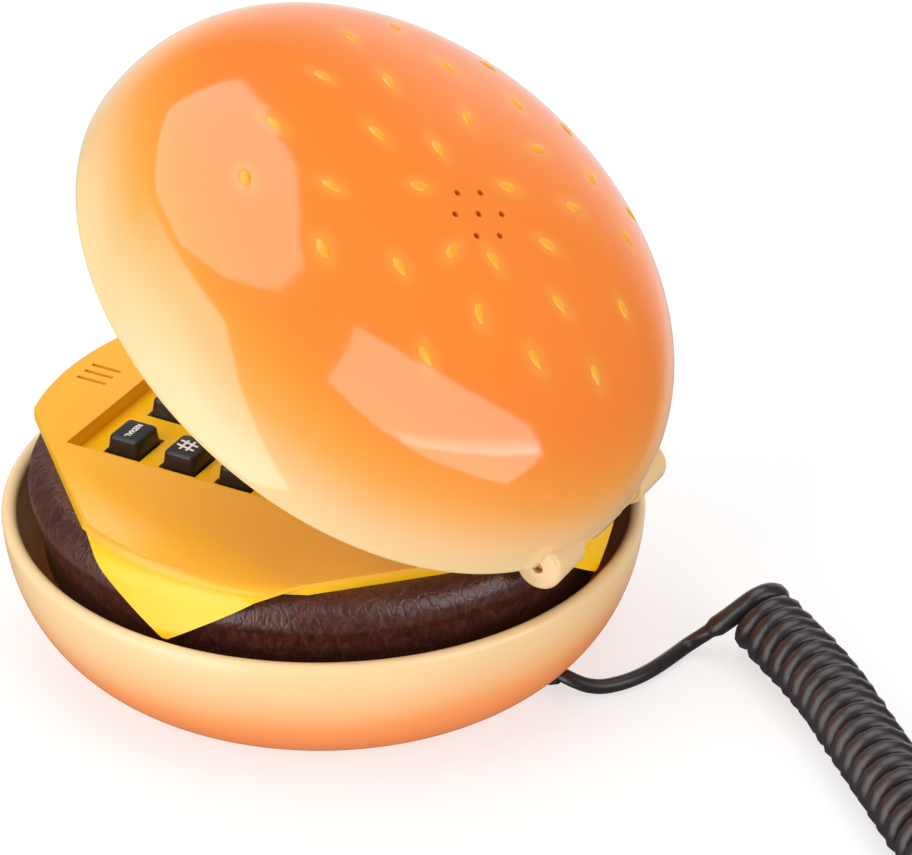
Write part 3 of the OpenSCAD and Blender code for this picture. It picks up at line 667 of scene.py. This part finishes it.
# %% Base paint
base_paint, tree, shader = new_material("airbrushed_abs_base", 0.26, 1.5)
place = object_place(tree)
place_parts = add(tree, "ShaderNodeSeparateXYZ", links={"Vector": place}).outputs
spray = add(tree, "ShaderNodeTexNoise", {"Scale": 1 / (40 * MM), "Detail": 1.0}, {"Vector": place})
wander = add(tree, "ShaderNodeMath", {"operation": "MULTIPLY_ADD", 1: 4 * MM, 2: -2 * MM}, {0: spray.outputs["Fac"]})
lower = add(tree, "ShaderNodeMapRange", {"From Min": 30 * MM, "From Max": 58 * MM, "To Max": -3 * MM},
            {"Value": place_parts["Y"]})
waved = add(tree, "ShaderNodeMath", {"operation": "ADD"}, {0: place_parts["Z"], 1: wander.outputs[0]})
shifted = add(tree, "ShaderNodeMath", {"operation": "ADD"}, {0: waved.outputs[0], 1: lower.outputs[0]})
share = add(tree, "ShaderNodeMapRange", {"From Min": 0.0, "From Max": BUN_RIM_Z * MM}, {"Value": shifted.outputs[0]})
fade = ramp_of(tree, share.outputs[0], (0.0, "#FB8A46"), (0.32, "#FA924D"), (0.46, "#F89D5A"), (0.60, "#F4B478"),
               (0.74, "#F1C48E"), (0.88, "#F0CB97"), (1.0, "#F0CE9B"))
tree.links.new(fade, shader.inputs["Base Color"])
surface_grain(tree, shader, place, 1.2, 0.02)
bottom_bun = piece("bottom_bun_bowl", bowl_mesh, "phone_base", base_paint)
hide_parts("bottom_bun_shell")
print("bottom bun:", len(bowl_mesh.polygons), "faces")

# %% [markdown]
# ## Patty
# The patty ring is moulded with a fried-meat texture: a network of fine wrinkles over soft lumps, in
# dark brown with a semi-gloss. The lumps move the points of a spun ring, so they show in its outline,
# and the wrinkles are too fine for the mesh and are left to the bump.

# %% Spin the patty
PATTY_LOW, DECK_UNDER = 20, 37.8
patty_profile = [Vector((49.8, 0, PATTY_LOW)), Vector((51.4, 0, PATTY_LOW)), Vector((51.5, 0, 22)),
                 Vector((51.7, 0, 24)), Vector((52.1, 0, 25.6)), Vector((52.6, 0, 27)), Vector((53, 0, 28.6))]
patty_profile += [Vector((49 + 4.8 * math.cos(a), 0, 33 + 4.8 * math.sin(a)))
                  for a in (math.radians(-32 + 110 * i / 18) for i in range(19))]
patty_profile += [Vector((r, 0, DECK_UNDER)) for r in (49.2, 46)] + [Vector((46, 0, 36.4)), Vector((49.8, 0, 36.2))]
patty_shape = spun(patty_profile, 288, closed_profile=True)
LUMPY_FROM_R, LUMP_SIZES, LUMP_HEIGHT = 51.2, (5, 2.2), 0.16
for vert in patty_shape.verts:
    if math.hypot(vert.co.x, vert.co.y) > LUMPY_FROM_R and vert.co.z > PATTY_LOW + 0.5:
        lump = noise.noise(vert.co / LUMP_SIZES[0]) + 0.6 * noise.noise(vert.co / LUMP_SIZES[1])
        push = Vector((vert.co.x, vert.co.y, 0)).normalized()
        vert.co += push * LUMP_HEIGHT * min(0.6, lump)
patty_mesh = to_mesh(patty_shape, "patty", 60)
patty_mesh.transform(Matrix.Scale(MM, 4))
patty_mesh = cut(patty_mesh, cross_rod(-22, 22, 5.8))

# %% Fried-brown plastic
patty_paint, tree, shader = new_material("grained_brown_abs", 0.36, 1.55)
place = object_place(tree)
stretched = add(tree, "ShaderNodeMapping", {"Scale": (1, 1, 0.55)}, {"Vector": place})
wrinkle_noise = add(tree, "ShaderNodeTexNoise", {"Scale": 1 / (2 * MM), "Detail": 5.0, "Distortion": 1.8},
                    {"Vector": stretched.outputs[0]})
wrinkles = add(tree, "ShaderNodeTexVoronoi", {"feature": "DISTANCE_TO_EDGE", "Scale": 1 / (1.5 * MM)},
               {"Vector": stretched.outputs[0]})
crinkle = add(tree, "ShaderNodeMapRange", {"From Max": 0.16}, {"Value": wrinkles.outputs["Distance"]})
relief = add(tree, "ShaderNodeMath", {"operation": "MULTIPLY_ADD", 1: 0.35}, {0: crinkle.outputs[0]})
tree.links.new(wrinkle_noise.outputs["Fac"], relief.inputs[2])
bump = add(tree, "ShaderNodeBump", {"Strength": 0.7, "Distance": 0.2 * MM}, {"Height": relief.outputs[0]})
tree.links.new(bump.outputs[0], shader.inputs["Normal"])
meat = ramp_of(tree, wrinkle_noise.outputs["Fac"], (0.3, "#34140F"), (0.5, "#472019"), (0.72, "#5C332B"))
tree.links.new(meat, shader.inputs["Base Color"])
patty = piece("patty_ring", patty_mesh, "phone_base", patty_paint)
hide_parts("patty_frame")
print("patty:", len(patty_mesh.polygons), "faces")

# %% [markdown]
# ## Cheese deck
# The cheese slice is one moulding: a flat top, a sunk well for the keys, three slots over the
# microphone and three corners that droop over the patty. The engineering solid has all of it, so it is
# only softened, with a wider rounding than the other parts, because melted cheese has no sharp edge.

# %% Soften the deck
cheese, tree, shader = new_material("cheese_yellow_abs", 0.24, 1.53)
place = object_place(tree)
# The flat top is painted more orange than the drooping corners and edges below it. This is a painted reflection of the
# orange lid over the deck; the slice itself is one yellow.
deck_level = add(tree, "ShaderNodeSeparateXYZ", links={"Vector": place}).outputs["Z"]
painted_lid_reflection = add(tree, "ShaderNodeMapRange", {"From Min": 38.4 * MM, "From Max": 39.9 * MM}, {"Value": deck_level})
tree.links.new(blended(tree, painted_lid_reflection.outputs[0], "#FFC40C", "#FFBA36"), shader.inputs["Base Color"])
surface_grain(tree, shader, place, 1.5, 0.03)
deck = softened("cheese_deck", cheese, 0.35, "cheese_slice")
print("deck:", len(deck.data.polygons), "faces before rounding")

# %% [markdown]
# ## Keys
# Fifteen black caps stand on a rubber mat. A cap is a block that narrows towards its top, with rounded
# corners and a softer top edge. The legends are printed in white ink, so they are text made into a
# thin mesh just above the cap, and they ride on their own key.

# %% Key caps
KEY_BASE, KEY_TOP, WELL_FLOOR, KEY_TOP_Z = (8.2, 7.2), (7.2, 6.2), 36.9, 40.2
KEY_DX, KEY_DY, KEY_ROW_Y = 15.1, 11.7, -31.2
key_abs = moulded("satin_black_abs", "#1B191B", "#141314", 0.38, grain_mm=0.5, depth_mm=0.02)
legend_ink = moulded("white_pad_print", "#F2F1EE", "#E6E5E2", 0.5, grain_mm=0.3, depth_mm=0.005)
LABELS = [["MUTE", "FLASH", "REDIAL"], ["*", "0", "#"], ["7", "8", "9"], ["4", "5", "6"], ["1", "2", "3"]]
KEY_NAMES = {"*": "star", "#": "hash"}


def key_cap(x, y):
    cap = bmesh.new()
    low = WELL_FLOOR - 1.2
    bmesh.ops.create_cube(cap, size=1, matrix=Matrix.Translation((x, y, (low + KEY_TOP_Z) / 2))
                          @ Matrix.Diagonal((KEY_BASE[0], KEY_BASE[1], KEY_TOP_Z - low, 1)))
    top = [v for v in cap.verts if v.co.z > WELL_FLOOR]
    bmesh.ops.scale(cap, vec=(KEY_TOP[0] / KEY_BASE[0], KEY_TOP[1] / KEY_BASE[1], 1), verts=top,
                    space=Matrix.Translation((-x, -y, 0)))
    corners = [e for e in cap.edges if abs(e.verts[0].co.z - e.verts[1].co.z) > 1]
    bmesh.ops.bevel(cap, geom=corners, offset=1.0, affect="EDGES", segments=5, profile=0.5, material=-1)
    top_edge = [e for e in cap.edges if min(v.co.z for v in e.verts) > KEY_TOP_Z - 0.01]
    bmesh.ops.bevel(cap, geom=top_edge, offset=0.55, affect="EDGES", segments=4, profile=0.5, material=-1)
    bmesh.ops.scale(cap, vec=(MM, MM, MM), verts=cap.verts)
    return to_mesh(cap, "key_cap", 50)


def legend(words, x, y):
    text = bpy.data.curves.new("legend_text", "FONT")
    text.body = words
    text.size = 5.6 * MM if len(words) == 1 else 1.5 * MM
    text.align_x = text.align_y = "CENTER"
    text.offset = 0.05 * MM
    text.extrude = 0.02 * MM
    holder = bpy.data.objects.new("legend_text", text)
    bpy.context.scene.collection.objects.link(holder)
    bpy.context.view_layer.update()
    mesh = bpy.data.meshes.new_from_object(holder.evaluated_get(bpy.context.evaluated_depsgraph_get()))
    bpy.data.objects.remove(holder)
    mesh.transform(Matrix.Translation((x * MM, y * MM, (KEY_TOP_Z + 0.02) * MM)))
    return mesh


for row, labels in enumerate(LABELS):
    for column, words in enumerate(labels):
        name = "key_" + KEY_NAMES.get(words, words.lower())
        x, y = (column - 1) * KEY_DX, KEY_ROW_Y + row * KEY_DY
        cap = piece(name + "_cap", key_cap(x, y), name, key_abs)
        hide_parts(name)
        piece(name + "_legend", legend(words, x, y), name, legend_ink)
print("15 keys with their legends")

# %% [markdown]
# ## The other parts
# What is left is seen from below, through the open lid or not at all. Each part keeps its engineering
# shape with softened edges and gets the surface that such a part has.

# %% Surfaces of the small parts
def metal(name, colour, roughness, grain_mm=0.3):
    material, tree, shader = new_material(name, roughness, Metallic=1.0)
    place = object_place(tree)
    cloud = add(tree, "ShaderNodeTexNoise", {"Scale": 1 / (2 * MM), "Detail": 3.0}, {"Vector": place})
    tree.links.new(blended(tree, cloud.outputs["Fac"], colour, "#8C8F93"), shader.inputs["Base Color"])
    surface_grain(tree, shader, place, grain_mm, 0.01)
    return material


cover_abs = moulded("satin_cream_abs", "#EFCC9A", "#E9C490", 0.35, grain_mm=0.7)
black_rubber = moulded("black_rubber", "#242424", "#191919", 0.75, grain_mm=0.5, depth_mm=0.05)
mat_rubber = moulded("grey_silicone_mat", "#77736F", "#69655F", 0.65)
foam = moulded("grey_foam", "#4A4A4A", "#3A3A3A", 0.95, grain_mm=0.4, depth_mm=0.12)
board_mask = moulded("green_solder_mask", "#2E7A46", "#24683A", 0.35)
chip_epoxy = moulded("black_epoxy", "#26262A", "#1C1C20", 0.6)
sleeve = moulded("blue_capacitor_sleeve", "#24479A", "#1C3A80", 0.3)
relay_case = moulded("ivory_relay_case", "#DCD6C4", "#CFC8B4", 0.4)
clip_abs = moulded("natural_abs_clip", "#E9E4D8", "#DCD6C8", 0.4)
lead_pvc = moulded("red_lead_pvc", "#B52A22", "#96211B", 0.4)
knob_abs = moulded("black_abs_knob", "#1E1D1F", "#151416", 0.4)
zinc = metal("zinc_plated_steel", "#C6C8CA", 0.32)
cast_weight = metal("dull_cast_weight", "#7E8286", 0.6, 0.8)
tin = metal("tinned_steel", "#BFC1C3", 0.28)
aluminium = metal("satin_aluminium", "#C9CBCD", 0.35)
brass = metal("spring_brass", "#D8AE55", 0.25)
amber_film = moulded("amber_varnished_disc", "#D4601C", "#BE5216", 0.5)
FINISHES = {"lid_inner_cover": (cover_abs, 0.3), "foot_ring": (black_rubber, 0.3), "ballast_plate": (cast_weight, 0.4),
            "key_mat": (mat_rubber, 0.15), "main_board": (board_mask, 0.1), "dial_chip": (chip_epoxy, 0.1),
            "line_capacitors": (sleeve, 0.4), "line_relay": (relay_case, 0.4), "hook_switch": (chip_epoxy, 0.2),
            "hook_leaf": (brass, 0), "microphone": (aluminium, 0.2), "microphone_boot": (black_rubber, 0.2),
            "base_screws": (zinc, 0.2), "board_screws": (zinc, 0.15), "lid_screws": (zinc, 0.15),
            "slide_switch_bodies": (tin, 0.2), "ringer_switch_knob": (knob_abs, 0.25),
            "tone_switch_knob": (knob_abs, 0.25), "earpiece_gasket": (foam, 0.1), "earpiece_speaker": (aluminium, 0.3),
            "ringer_sounder": (amber_film, 0.1), "ringer_clip": (clip_abs, 0.2), "lid_lead": (lead_pvc, 0),
            "cord_grommet": (black_rubber, 0.2)}
for node, (material, edge) in FINISHES.items():
    softened(node, material, edge)
print(len(FINISHES), "more parts finished")

# %% Line plug
clear, tree, shader = new_material("clear_polycarbonate", 0.12, 1.58, Transmission_Weight=0.75,
                                   Base_Color=srgb("#E8EEF2"))
surface_grain(tree, shader, object_place(tree), 1.0, 0.01)
plug_node = nodes["line_plug"]
plug_node.data.materials.clear()
plug_node.data.materials.append(clear)
